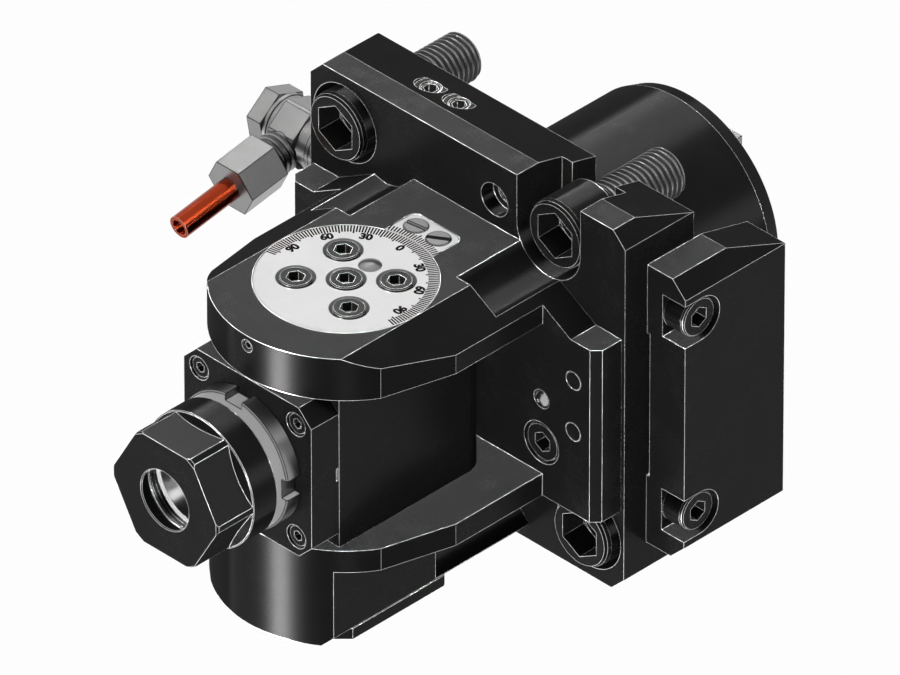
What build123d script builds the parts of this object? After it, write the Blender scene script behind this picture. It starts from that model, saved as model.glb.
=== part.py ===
"""Swivel live tool holder for a lathe turret, in millimetres.

The origin is the centre of the flange's mounting face, on the axis of the spigot.
+Y goes into the turret, -Y towards the work, +Z is up and +X is to the right.
The spigot (+Y) carries the drive shaft.  The fork on the flange's front holds the swivel
head between two arms, and the head carries the collet spindle, which points along -Y
at rest.  Power runs from the drive shaft through bevel gears, down to a spur train in
the lower arm, up the swivel axis and through a second bevel pair to the spindle.
"""
from build123d import *
from math import acos, cos, pi, radians, sin, sqrt, tan
import os

# Driving sizes of the holder
reach = 78.0                 # mounting face to swivel axis
flange_width = 129.6
flange_height = 127.8
flange_thickness = 28.3
flange_corner = 5.0          # 45 degree cut on the four corners
flange_strip = 8.9           # level strip behind the front face, before the slope
station_slope = 15.0         # degrees, room for the neighbours on a twelve station disc
spigot_dia = 77.5
spigot_length = 63.8
spigot_lead = 5.1
spigot_lead_depth = 1.5
fit_gap = 0.05               # running clearance of a round fit, on the radius
seat_gap = 0.3               # clearance beside a loose fastener or a plate in its pocket
joint_gap = 0.4              # clearance between moving flat faces

# Turret bolts
bolt_bore = 26.0             # counterbore for the head
bolt_slot = 17.5             # open slot for the shank
bolt_grip = 21.4             # thread that stands out of the mounting face
thread_start = 0.5           # mounting face to the first turn of the thread
shank_relief = 0.65          # a waisted shank is this much thinner than its thread, on the radius
thread_lead_share = 0.12     # bevel at a thread's end as a share of its diameter
outer_bolt_x = 50.5
inner_bolt_x = 33.5
bolt_z = 47.5
outer_head_proud = 4.0       # head face in front of the flange
inner_head_sunk = 2.6        # head face behind the flange's front

# Fork on the front of the flange
wing_width = 127.0
wing_thickness = 10.5
wing_corner = 2.6
arm_radius = 40.5            # rounded front of both arms
arm_shoulder_x = 34.9
arm_root_x = 41.6
arm_root_y = 3.5
upper_arm_bottom = 26.8
upper_arm_top = 41.5
upper_top_half = 27.6        # half width of the upper arm's top face
arm_slope = 30.0             # degrees, sides of the upper arm
lower_arm_top = -26.8
lower_rim_bottom = -34.5
case_half = 25.9             # gear case under the lower arm
case_bottom = -61.3
case_chamfer = 3.0
scoop_radius = 13.0          # spanner room beside the arms
upper_scoop_start = 23.4
lower_scoop_start = 10.8
gear_cover_half = 23.4
gear_cover_front = 29.0
gear_cover_back = 18.2
gear_cover_thickness = 3.8
gear_cover_cut = 8.2         # 45 degree cut on its two front corners
gear_cover_round = 2.0       # its two rear corners
gear_cover_rim = 3.0         # wall of the rim that centres it

# Swivel head
head_half = 26.3
head_half_height = 26.4
head_front = 29.1            # swivel axis to the front of the head block
head_back = 31.5
head_round = 7.1
cover_thickness = 11.3
cover_corner = 5.2
cover_screw_offset = 20.0
dial_radius = 27.2
dial_thickness = 9.0
trunnion_radius = 22.0
bush_wall = 2.5
lower_trunnion_radius = 18.0
lower_trunnion_end = -42.0
lower_bush_wall = 3.0
dial_screw_x = 11.0
dial_screw_y = 9.7
dial_pin_dia = 7.0
dial_pin_y = 9.85
vernier_half = 9.65
vernier_back = 38.0
vernier_thickness = 2.0
vernier_round = 2.5
vernier_screw_x = 4.6
vernier_screw_y = 33.3

# Spindle
nose_radius = 16.0
nose_end = 63.2              # swivel axis to the end of the spindle nose
journal_radius = 12.5
taper_mouth_radius = 13.0
taper_angle = 8.0            # degrees to the axis
taper_depth = 26.0
spindle_bore_radius = 8.0
ring_radius = 22.4
ring_width = 5.4
ring_slot_width = 6.6
ring_slot_depth = 2.5
nut_radius = 22.05
nut_hex_radius = 21.65
nut_flats = 38.5
nut_rear = 49.7
nut_step = 59.5
nut_slope_end = 61.3         # the flats run out in a slope from nut_step to here
nut_front = 74.2
nut_mouth_radius = 9.7
nut_cone_radius = 12.4       # inner end of the cone that presses the collet
nut_cone_depth = 5.3
nut_groove_radius = 13.3     # groove that holds the collet
nut_groove_depth = 6.3
nut_land_radius = 12.8
nut_land_depth = 7.0
nut_inner_depth = 8.6        # front face to the thread's end

# Gears and bearings
gear_module = 1.5
transfer_teeth = 18
idler_teeth = 20
cross_teeth = 18
bevel_teeth = 16
bevel_face = 5.5
gear_face = 8.0
gear_top = -46.5
gear_air = 0.7               # room around a gear in its case
backlash = 0.24
bevel_backlash = 0.40
shaft_radius = 6.0           # upright shafts
shaft_bearing_radius = 14.0  # outer radius of their ball bearings
shaft_bearing_width = 8.0
shaft_ball_count = 7
spindle_bearing_radius = 21.0
spindle_bearing_width = 9.0
spindle_ball_count = 12
drive_shaft_radius = 12.5
drive_bearing_radius = 23.5
drive_bearing_width = 12.0
drive_ball_count = 9
tang_thickness = 8.0
tang_height = 30.6
tang_length = 12.8
tang_root = 6.0              # how far the tang runs back into the shaft
shaft_stand_out = 6.8        # end of the round shaft behind the spigot
bevel_back_off = 4.5         # the head's bevel gear is drawn clear of its mate

# Side bracket
bracket_width = 15.5
bracket_front = 19.1         # in front of the mounting face
bracket_back = 22.3          # behind the mounting face
bracket_height = 99.0
bracket_strip_end = 3.0      # level top behind the mounting face
bracket_corner = 5.3
bracket_relief = 1.2
bracket_relief_height = 50.6
bracket_screw_z = 34.6
bracket_screw_y = -12.2
bracket_screw_bore = 14.8
bracket_screw_sunk = 1.2

# Coolant inlet on the left
port_y = -14.15
port_z = 21.6
port_tilt = 9.5              # degrees that the pipe points down
banjo_bore = 5.5
banjo_hex = 18.4
banjo_corner_radius = 10.3   # the hexagon's corners are turned down to this
banjo_hex_width = 10.5
banjo_collar_radius = 9.0
washer_radius = 9.2
banjo_inner_collar = 4.0
banjo_outer_collar = 1.7
seal_washer = 1.5
port_spacer_length = 6.5
banjo_head_hex = 18.0
banjo_head_height = 5.7
union_hex = 16.0
union_length = 15.0
union_start = 15.7           # bolt axis to the union nut
union_stub_radius = 6.7
stub_thread_depth = 0.8
stub_thread_pitch = 2.0
stub_reach = 8.0             # how far the stub enters the union nut
pipe_radius = 3.7
pipe_neck_radius = 3.3       # the pipe is drawn down where it enters the union nut
pipe_neck_start = 4.0        # bolt bore to the pipe's inner end
pipe_bore = 2.6
pipe_length = 21.5

# Socket screws, as diameter, head diameter, head height and hexagon across flats
screw_sizes = {
    "M16": (16.0, 22.1, 16.0, 13.8),
    "M8": (8.0, 13.0, 8.0, 6.0),
    "M6": (6.0, 10.0, 6.0, 5.0),
    "M4": (4.0, 7.0, 4.0, 3.0),
}
socket_share = 0.55          # depth of a socket as a share of the head
head_bevel_share = 0.04      # rounding of a head's edge as a share of the head
hexagon_turn = 30.0          # degrees, sets a hexagon with a flat on +X

# Plugs, pins and screws in the flange and the bracket
top_plug_x = (-20.1, -31.8)
top_plug_y = -11.4
top_plug_open = 2.8          # the flat floor runs out of the slope this far behind the plug
plug_bore = 10.0
plug_dia = 6.6
plug_flats = 4.0
plug_length = 6.0
plug_sunk = 0.3
front_plug_x = 11.3
front_plug_edge = 13.3       # below the flange's top
front_plug_bore = 11.0
front_plug_depth = 5.0
bracket_screw_length = 22.0
port_thread_depth = 13.0

# Plugs, pins and screws in the fork
side_plug_x = 54.2
side_plug_z = (12.75, -5.5)
side_plug_dia = 6.2
side_plug_bevel = 0.25
ball_x = 41.2
ball_z = -0.3
ball_dia = 6.3
ball_proud = 1.5
fork_screw_x = 41.2
fork_screw_z = -15.8
fork_screw_bore = 14.2
fork_screw_sunk = 0.4
fork_screw_length = 24.0
dowel_x = 52.0
dowel_z = -26.0
dowel_dia = 8.0
dowel_length = 16.0
dowel_bevel = 0.6
grub_z = 37.9
grub_dia = 4.2
grub_flats = 2.0
grub_length = 8.0
grub_sunk = 0.6
gear_screw_x = 19.0
gear_screw_y = (-13.0, 14.0)
gear_screw_radius = 2.0
gear_screw_head = 4.0        # head radius of these countersunk screws
gear_screw_sink = 2.2
gear_screw_flats = 2.5
gear_screw_length = 9.0
vernier_screw_dia = 4.0
vernier_screw_length = 6.0
vernier_head_dia = 7.8
vernier_head_height = 2.0
vernier_head_proud = 0.3
vernier_slot_turns = (8, 32)
vernier_slot_half = 0.6
vernier_slot_depth = 0.9

# Screws and pins in the head
cover_screw_length = 9.0
cover_screw_bore = 7.8
cover_screw_sunk = 0.6
dial_screw_bore = 12.0
dial_screw_proud = 0.3
dial_screw_end = 19.0
pin_proud = 0.3
pin_dome_radius = 8.0
pin_depth = 5.0
index_mark_height = 4.3
index_mark_width = 0.7
index_mark_back = 1.2
index_mark_depth = 0.5

# Gear case and shafts
idler_pin_radius = 5.0
idler_bush_radius = 7.0
idler_pin_seat = 3.5
shaft_cap_thickness = 3.5
shaft_cap_hole_x = 8.0
shaft_cap_hole_radius = 2.5
shaft_cap_hole_depth = 2.0
drive_bearing_start = 2.0
drive_bearing_inset = 2.0     # rear bearing's face inside the spigot's end
spindle_bearing_end = 20.0
shaft_step = 1.0             # a gear's seat is this much thinner, on the radius

# Places that follow from the sizes above
flange_front = -flange_thickness
wing_front = flange_front - wing_thickness
slope_drop = (flange_thickness - flange_strip) * tan(radians(station_slope))
idler_y = cross_teeth * gear_module / 2 + idler_teeth * gear_module / 2
transfer_reach = idler_y + (idler_teeth + transfer_teeth) * gear_module / 2
transfer_y = transfer_reach - reach
drive_shaft_end = spigot_length + shaft_stand_out
spindle_bearing_front = spindle_bearing_end + 2 * spindle_bearing_width
slope_start = flange_front + flange_strip
top_plug_floor = flange_height / 2 - (top_plug_y + top_plug_open - slope_start) * tan(radians(station_slope))
front_plug_z = flange_height / 2 - front_plug_edge
gear_bottom = gear_top - gear_face
cover_front = head_front + cover_thickness
ring_back = cover_front + joint_gap
dial_bottom = upper_arm_top - dial_thickness
bevel_radius = bevel_teeth * gear_module / 2
bevel_outer = bevel_radius + gear_module
bevel_room = bevel_outer + gear_air
cross_room = (cross_teeth / 2 + 1) * gear_module + gear_air
idler_room = (idler_teeth / 2 + 1) * gear_module + gear_air
transfer_room = (transfer_teeth / 2 + 1) * gear_module + gear_air
shaft_cap_top = gear_bottom - gear_air
shaft_cap_bottom = shaft_cap_top - shaft_cap_thickness
bracket_screw_seat = bracket_width - bracket_screw_sunk - screw_sizes["M8"][2]
swivel = Pos(0, -reach, 0)
parts = {}


def add(name, *solids):
    """Keep the solids of one node under its name."""
    parts[name] = solids


def tube_y(radius, start, end, x=0.0, z=0.0):
    """Round bar along Y from start to end."""
    low, high = min(start, end), max(start, end)
    return Pos(x, (low + high) / 2, z) * Rot(90, 0, 0) * Cylinder(radius, high - low)


def tube_x(radius, start, end, y=0.0, z=0.0):
    """Round bar along X from start to end."""
    low, high = min(start, end), max(start, end)
    return Pos((low + high) / 2, y, z) * Rot(0, 90, 0) * Cylinder(radius, high - low)


def tube_z(radius, start, end, x=0.0, y=0.0):
    """Round bar along Z from start to end."""
    low, high = min(start, end), max(start, end)
    return Pos(x, y, (low + high) / 2) * Cylinder(radius, high - low)


def block(x0, x1, y0, y1, z0, z1):
    """Box between two corners."""
    return Pos((x0 + x1) / 2, (y0 + y1) / 2, (z0 + z1) / 2) * Box(x1 - x0, y1 - y0, z1 - z0)


def turned(profile, axis_turn=Rot(0, 0, 0)):
    """Solid of revolution from (radius, height) points, about Z and then turned."""
    face = make_face(Polyline(*[(r, 0, h) for r, h in profile], close=True))
    return axis_turn * revolve(face, Axis.Z)


TO_FRONT = Rot(90, 0, 0)      # turns +Z to -Y
TO_TURRET = Rot(-90, 0, 0)    # turns +Z to +Y
TO_LEFT = Rot(0, -90, 0)      # turns +Z to -X
TO_RIGHT = Rot(0, 90, 0)      # turns +Z to +X


def screw_radius(size):
    """Radius of a socket screw's thread."""
    return screw_sizes[size][0] / 2


def cap_screw(size, length, socket_turn=0.0, plain=0.0):
    """Socket head cap screw along Z: head face at 0, shank below, hexagon socket on top."""
    dia, head_dia, head_height, flats = screw_sizes[size]
    bevel = head_bevel_share * head_dia
    lead = thread_lead_share * dia
    shank = dia / 2 - (shank_relief if plain else 0.0)
    screw = turned([
        (0, 0),
        (head_dia / 2 - bevel, 0),
        (head_dia / 2 - bevel * 0.3, -bevel),
        (head_dia / 2, -bevel * 2.5),
        (head_dia / 2, -head_height),
        (shank, -head_height),
        (shank, -head_height - plain),
        (dia / 2, -head_height - plain),
        (dia / 2, -head_height - length + lead),
        (dia / 2 - lead, -head_height - length),
        (0, -head_height - length),
    ] if plain else [
        (0, 0),
        (head_dia / 2 - bevel, 0),
        (head_dia / 2 - bevel * 0.3, -bevel),
        (head_dia / 2, -bevel * 2.5),
        (head_dia / 2, -head_height),
        (dia / 2, -head_height),
        (dia / 2, -head_height - length + lead),
        (dia / 2 - lead, -head_height - length),
        (0, -head_height - length),
    ])
    hexagon = RegularPolygon(flats / 2, 6, major_radius=False, rotation=hexagon_turn + socket_turn)
    socket = extrude(hexagon, -socket_share * head_height)
    point = Pos(0, 0, -socket_share * head_height) * Rot(180, 0, 0)
    drill = point * turned([(0, 0), (flats / 2, 0), (0, flats / 2 * tan(radians(30)))])
    return screw - socket - drill


def socket_plug(dia, length, flats):
    """Headless plug with a hexagon socket, its face at 0 and its body below."""
    plug = tube_z(dia / 2, -length, 0)
    plug = chamfer(plug.edges().filter_by(GeomType.CIRCLE).sort_by(Axis.Z)[-1], dia * 0.05)
    hexagon = RegularPolygon(flats / 2, 6, major_radius=False, rotation=hexagon_turn)
    return plug - extrude(hexagon, -length * 0.5)


def ball_bearing(bore, outer, width, balls):
    """Deep groove bearing about Z from 0 to width: outer ring, inner ring and balls."""
    middle = (bore + outer) / 2
    ball = (outer - bore) * 0.30
    ring_wall = (outer - bore) * 0.24
    groove = Pos(0, 0, width / 2) * Torus(middle, ball + fit_gap)
    outer_ring = tube_z(outer, 0, width) - tube_z(outer - ring_wall, 0, width) - groove
    inner_ring = tube_z(bore + ring_wall, 0, width) - tube_z(bore + fit_gap / 2, 0, width) - groove
    at_middle = Pos(middle, 0, width / 2) * Sphere(ball)
    spheres = [Rot(0, 0, 360 / balls * i) * at_middle for i in range(balls)]
    return outer_ring, inner_ring, spheres


def spur_gear(teeth, module, face_width, bore, gap_first=False):
    """Involute spur gear about Z from 0 to face_width, a tooth or a gap on +X."""
    pitch = teeth * module / 2
    base = pitch * cos(radians(20))
    tip = pitch + module
    root = pitch - 1.25 * module
    half_tooth = (pi * module / 2 - backlash) / 2 / pitch
    involute = tan(radians(20)) - radians(20)

    def flank_angle(radius):
        """Half angle of the tooth at a radius."""
        if radius <= base:
            return half_tooth + involute
        alpha = acos(base / radius)
        return half_tooth + involute - (tan(alpha) - alpha)

    radii = [root, base, (base + pitch) / 2, pitch, (pitch + tip) / 2, tip]
    turn = pi / teeth if gap_first else 0.0
    outline = []
    for tooth in range(teeth):
        centre = 2 * pi * tooth / teeth + turn
        rising = [(r, centre - flank_angle(r)) for r in radii]
        falling = [(r, centre + flank_angle(r)) for r in reversed(radii)]
        outline += [(r * cos(a), r * sin(a)) for r, a in rising + falling]
    blank = extrude(make_face(Polyline(*outline, close=True)), face_width)
    return blank - tube_z(bore, 0, face_width)


def bevel_gear(teeth, module, face_width, bore, hub_end, gap_first=False):
    """45 degree bevel gear about Z.  The cone's tip is at 0 and the gear lies below it."""
    pitch = teeth * module / 2
    cone = pitch * sqrt(2)
    small = (cone - face_width) / cone
    half = sqrt(0.5)
    root_in = 1.25 * module

    def tooth_section(scale):
        """Trapezium across a tooth, square to the pitch cone."""
        pressure = tan(radians(20))
        top = module
        half_width = (pi * module / 2 - bevel_backlash) / 2
        section = []
        for height, side in ((-root_in * 1.3, 1), (top, 1), (top, -1), (-root_in * 1.3, -1)):
            across = side * (half_width - height * pressure)
            radius = pitch + height * half
            down = -pitch + height * half
            section.append(Vector(radius * scale, across * scale, down * scale))
        return make_face(Polyline(*section, close=True))

    tooth = loft([tooth_section(1.0), tooth_section(small)])
    root_large = pitch - root_in * half
    root_level = -pitch - root_in * half
    blank = turned([
        (bore, root_level * small),
        (root_large * small, root_level * small),
        (root_large, root_level),
        (root_large - module, root_level - module),
        (root_large - module, hub_end),
        (bore, hub_end),
    ])
    turn = 180.0 / teeth if gap_first else 0.0
    ring = [Rot(0, 0, 360.0 / teeth * i + turn) * tooth for i in range(teeth)]
    return blank + ring


# Turret bolts: two beside the head on the outside, two nearer the middle
def bolt_places():
    """x, z and head face of the four turret bolts."""
    outer_face = flange_front - outer_head_proud
    inner_face = flange_front + inner_head_sunk
    return [
        (-outer_bolt_x, bolt_z, outer_face),
        (outer_bolt_x, -bolt_z, outer_face),
        (inner_bolt_x, bolt_z, inner_face),
        (-inner_bolt_x, -bolt_z, inner_face),
    ]


def turret_bolts():
    """Four socket head screws that pull the flange onto the turret."""
    head_height = screw_sizes["M16"][2]
    screws = []
    for x, z, face in bolt_places():
        seat = face + head_height
        screw = cap_screw("M16", bolt_grip - seat, plain=thread_start - seat)
        screws.append(Pos(x, face, z) * TO_FRONT * screw)
    return screws


def mounting_flange():
    """Flange plate with its spigot, bored for the drive shaft and the transfer shaft."""
    half_height = flange_height / 2
    half_width = flange_width / 2
    side = [
        (0, flange_front, -half_height),
        (0, flange_front, half_height),
        (0, flange_front + flange_strip, half_height),
        (0, 0, half_height - slope_drop),
        (0, 0, slope_drop - half_height),
        (0, flange_front + flange_strip, -half_height),
    ]
    profile = make_face(Polyline(*side, close=True))
    plate = extrude(profile, amount=half_width, dir=(1, 0, 0), both=True)
    front = Rectangle(flange_width, flange_height)
    front = chamfer(front.vertices(), flange_corner)
    plate &= Rot(90, 0, 0) * extrude(front, flange_thickness)
    spigot = turned([
        (0, -flange_thickness / 2),
        (spigot_dia / 2, -flange_thickness / 2),
        (spigot_dia / 2, spigot_length - spigot_lead),
        (spigot_dia / 2 - spigot_lead_depth, spigot_length),
        (0, spigot_length),
    ], TO_TURRET)
    flange = plate + spigot

    # Turret bolt seats: round ones outside, slots open to the edge inside
    head_height = screw_sizes["M16"][2]
    for x, z, face in bolt_places():
        seat = face + head_height
        flange -= tube_y(bolt_bore / 2, flange_front - 1, seat, x, z)
        if abs(x) > inner_bolt_x:
            flange -= tube_y(bolt_slot / 2, seat - 1, 1, x, z)
        else:
            side_of = 1 if z > 0 else -1
            edge = side_of * (half_height + 1)
            low, high = min(z, edge), max(z, edge)
            flange -= block(x - bolt_bore / 2, x + bolt_bore / 2, flange_front - 1, seat, low, high)
            flange -= tube_y(bolt_slot / 2, seat - 1, 1, x, z)
            flange -= block(x - bolt_slot / 2, x + bolt_slot / 2, seat - 1, 1, low, high)

    # Bore for the drive shaft and its two bearings, and the bevel gear room
    flange -= tube_y(drive_bearing_radius, drive_bearing_start, spigot_length + 1)
    flange -= tube_y(bevel_room, transfer_y, drive_bearing_start + 1)
    flange -= tube_z(bevel_room, -bevel_room, bevel_room, 0, transfer_y)
    # Bore for the transfer shaft, from the bottom, with the gear room open to the front
    flange -= tube_z(shaft_bearing_radius, -bevel_room, gear_top, 0, transfer_y)
    flange -= tube_z(transfer_room, gear_top + gear_air, shaft_cap_bottom - 5, 0, transfer_y)

    # Plugs of the cross drilled coolant ways
    for x in top_plug_x:
        flange -= tube_z(plug_bore / 2, top_plug_floor, half_height + 1, x, top_plug_y)
        flange -= tube_z(plug_dia / 2, top_plug_floor - plug_length - 1, top_plug_floor + 1, x, top_plug_y)
    flange -= tube_y(front_plug_bore / 2, flange_front - 1, flange_front + front_plug_depth,
                     front_plug_x, front_plug_z)
    flange -= tube_y(plug_dia / 2, flange_front, flange_front + front_plug_depth + plug_length + 1,
                     front_plug_x, front_plug_z)
    # Screw and dowel holes for the fork, the bracket and the coolant inlet
    for sx in (-1, 1):
        depth = fork_screw_length - wing_thickness + screw_sizes["M8"][2] + fork_screw_sunk + 2
        flange -= tube_y(screw_radius("M8"), flange_front - 1, flange_front + depth,
                         sx * fork_screw_x, fork_screw_z)
        flange -= tube_y(dowel_dia / 2, flange_front - 1, flange_front + dowel_length / 2 + 1,
                         sx * dowel_x, dowel_z)
    for sz in (-1, 1):
        flange -= tube_x(screw_radius("M8"), half_width - bracket_screw_length + bracket_screw_seat,
                         half_width + 1, bracket_screw_y, sz * bracket_screw_z)
    flange -= tube_x(banjo_bore, -half_width - 1, -half_width + port_thread_depth + 1, port_y, port_z)
    return flange


def wing_and_arms():
    """Outer form of the fork, with the swivel axis at the origin."""
    back = reach - flange_thickness
    front = back - wing_thickness
    half = wing_width / 2
    wing = block(-half, half, front, back, lower_rim_bottom, upper_arm_bottom)
    corners = wing.edges().filter_by(Axis.Z).group_by(Axis.Y)[0]
    wing = chamfer(corners, wing_corner)

    shoulder_y = -sqrt(arm_radius ** 2 - arm_shoulder_x ** 2)
    outline = [
        ThreePointArc((-arm_shoulder_x, shoulder_y), (0, -arm_radius), (arm_shoulder_x, shoulder_y)),
        Polyline((arm_shoulder_x, shoulder_y), (arm_root_x, arm_root_y), (arm_root_x, back),
                 (-arm_root_x, back), (-arm_root_x, arm_root_y), (-arm_shoulder_x, shoulder_y)),
    ]
    plan = make_face(outline)
    upper = Pos(0, 0, upper_arm_bottom) * extrude(plan, upper_arm_top - upper_arm_bottom)
    foot_half = upper_top_half + (upper_arm_top - upper_arm_bottom) / tan(radians(arm_slope))
    section = make_face(Polyline(
        (-foot_half, 0, upper_arm_bottom), (-upper_top_half, 0, upper_arm_top),
        (upper_top_half, 0, upper_arm_top), (foot_half, 0, upper_arm_bottom), close=True))
    roof = Pos(0, -arm_radius - 1, 0) * extrude(section, amount=arm_radius + 1 + back, dir=(0, 1, 0))
    saddle = Pos(0, front, 0) * extrude(section, amount=wing_thickness, dir=(0, 1, 0))
    upper = (upper & roof) + saddle
    for sx in (-1, 1):
        upper -= tube_y(scoop_radius, upper_scoop_start, back + 1, sx * inner_bolt_x, bolt_z)

    rim = Pos(0, 0, lower_rim_bottom) * extrude(plan, lower_arm_top - lower_rim_bottom)
    case_y = -sqrt(arm_radius ** 2 - case_half ** 2)
    case_plan = make_face([
        ThreePointArc((-case_half, case_y), (0, -arm_radius), (case_half, case_y)),
        Polyline((case_half, case_y), (case_half, back), (-case_half, back), (-case_half, case_y)),
    ])
    case = Pos(0, 0, case_bottom) * extrude(case_plan, lower_rim_bottom - case_bottom)
    for sx in (-1, 1):
        corner = make_face(Polyline(
            (sx * (case_half - case_chamfer), 0, case_bottom),
            (sx * case_half, 0, case_bottom + case_chamfer),
            (sx * (case_half + 1), 0, case_bottom - 1), close=True))
        case -= Pos(0, -arm_radius, 0) * extrude(corner, amount=arm_radius + back, dir=(0, 1, 0))
        case -= tube_y(scoop_radius, lower_scoop_start, back + 1, sx * inner_bolt_x, -bolt_z)
    return wing + upper + rim + case


def fork_housing():
    """Fork with its bores, gear rooms and screw seats, with the swivel axis at the origin."""
    back = reach - flange_thickness
    front = back - wing_thickness
    fork = wing_and_arms()
    # Upper arm: dial recess and bush bore; lower arm: bush bore
    fork -= tube_z(dial_radius + joint_gap / 2, dial_bottom, upper_arm_top + 1)
    fork -= tube_z(trunnion_radius + bush_wall, upper_arm_bottom - 1, dial_bottom + 1)
    fork -= tube_z(lower_trunnion_radius + lower_bush_wall, lower_trunnion_end - joint_gap, lower_arm_top + 1)
    # Gear rooms
    fork -= tube_z(cross_room, case_bottom - 1, lower_trunnion_end)
    idler_low, idler_high = gear_bottom - gear_air, gear_top + gear_air
    fork -= tube_z(idler_room, idler_low, idler_high, 0, idler_y)
    fork -= tube_z(transfer_room, case_bottom - 1, idler_high, 0, transfer_reach)
    fork -= tube_z(idler_pin_radius, idler_low - idler_pin_seat, idler_high + idler_pin_seat, 0, idler_y)
    fork -= tube_z(bevel_room, -bevel_room, bevel_room, 0, transfer_reach)
    fork -= tube_z(shaft_bearing_radius, gear_top, 0, 0, transfer_reach)
    # Gear cover screws
    for x, y in gear_cover_holes():
        fork -= tube_z(gear_screw_radius, case_bottom - 1, case_bottom + gear_screw_length, x, y)
    # Vernier pocket and its screws
    fork -= vernier_shape(seat_gap)
    for sx in (-1, 1):
        fork -= tube_z(vernier_screw_dia / 2, upper_arm_top - vernier_thickness - vernier_screw_length,
                       upper_arm_top, sx * vernier_screw_x, vernier_screw_y)
    # Screws, dowels, plugs and the sealing ball in the wing
    for sx in (-1, 1):
        seat = front + fork_screw_sunk + screw_sizes["M8"][2]
        fork -= tube_y(fork_screw_bore / 2, front - 1, seat, sx * fork_screw_x, fork_screw_z)
        fork -= tube_y(screw_radius("M8"), seat - 1, back + 1, sx * fork_screw_x, fork_screw_z)
        fork -= tube_y(dowel_dia / 2, back - dowel_length / 2 - 1, back + 1, sx * dowel_x, dowel_z)
        for z in side_plug_z:
            fork -= tube_y(side_plug_dia / 2, front - 1, front + plug_length + 1, sx * side_plug_x, z)
    fork -= tube_y(ball_dia / 2, front - 1, front + ball_dia - ball_proud, ball_x, ball_z)
    fork -= tube_y(grub_dia / 2, -arm_radius - 1, -dial_radius, 0, grub_z)
    return fork


def gear_cover_holes():
    """Places of the four screws under the gear case."""
    return [(sx * gear_screw_x, y) for sx in (-1, 1) for y in gear_screw_y]


def gear_cover():
    """Plate that closes the gear case from below."""
    plan = Pos(0, (gear_cover_back - gear_cover_front) / 2) * Rectangle(
        2 * gear_cover_half, gear_cover_back + gear_cover_front)
    plan = chamfer(plan.vertices().group_by(Axis.Y)[0], gear_cover_cut)
    plan = fillet(plan.vertices().group_by(Axis.Y)[-1], gear_cover_round)
    cover = Pos(0, 0, case_bottom - gear_cover_thickness) * extrude(plan, gear_cover_thickness)
    rim = tube_z(cross_room - fit_gap, case_bottom - 1, case_bottom + 2)
    cover += rim - tube_z(cross_room - gear_cover_rim, case_bottom, case_bottom + 3)
    for x, y in gear_cover_holes():
        sink = case_bottom - gear_cover_thickness
        cover -= tube_z(gear_screw_radius + seat_gap, sink - 1, case_bottom + 1, x, y)
        top = gear_screw_head + seat_gap
        cone = turned([(0, 0), (top, 0), (gear_screw_radius, gear_screw_sink), (0, gear_screw_sink)])
        cover -= Pos(x, y, sink) * cone
    return cover


def gear_cover_screws():
    """Countersunk screws of the gear cover, heads down."""
    screws = []
    for x, y in gear_cover_holes():
        end = gear_screw_length + 1
        neck = gear_screw_head - gear_screw_radius
        screw = turned([
            (0, 0), (gear_screw_head, 0), (gear_screw_radius, neck), (gear_screw_radius, end), (0, end)])
        screw -= extrude(RegularPolygon(gear_screw_flats / 2, 6, major_radius=False), neck * 0.7)
        screws.append(Pos(x, y, case_bottom - gear_cover_thickness + 0.1) * screw)
    return screws


def vernier_shape(grow=0.0):
    """Fixed vernier plate beside the dial, or its pocket when grown."""
    half = vernier_half + grow
    back = vernier_back + grow
    start = dial_radius * 0.8
    plan = Pos(0, (start + back) / 2) * Rectangle(2 * half, back - start)
    plan = fillet(plan.vertices().group_by(Axis.Y)[-1], vernier_round + grow)
    bottom = upper_arm_top - vernier_thickness
    plate = Pos(0, 0, bottom) * extrude(plan, vernier_thickness + (1 if grow else 0))
    return plate - tube_z(dial_radius + joint_gap / 2, bottom - 1, upper_arm_top + 2)


def vernier_plate():
    """Vernier plate with its two screw holes and sinks."""
    plate = vernier_shape()
    for sx in (-1, 1):
        place = (sx * vernier_screw_x, vernier_screw_y)
        sink = upper_arm_top + vernier_head_proud - vernier_head_height
        plate -= tube_z(vernier_head_dia / 2 + fit_gap, sink, upper_arm_top + 1, *place)
        plate -= tube_z(vernier_screw_dia / 2 + fit_gap, sink - 3, upper_arm_top, *place)
    return plate


def vernier_screws():
    """Two slotted cheese head screws."""
    screws = []
    for sx, turn in zip((-1, 1), vernier_slot_turns):
        head = tube_z(vernier_head_dia / 2, -vernier_head_height, 0)
        head = chamfer(head.edges().filter_by(GeomType.CIRCLE).sort_by(Axis.Z)[-1], 0.3)
        head -= Rot(0, 0, turn) * block(-vernier_head_dia, vernier_head_dia, -vernier_slot_half,
                                        vernier_slot_half, -vernier_slot_depth, 1)
        shank_end = -vernier_head_height - vernier_screw_length + 1
        shank = tube_z(vernier_screw_dia / 2, shank_end, -vernier_head_height)
        place = Pos(sx * vernier_screw_x, vernier_screw_y, upper_arm_top + vernier_head_proud)
        screws.append(place * (head + shank))
    return screws


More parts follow.
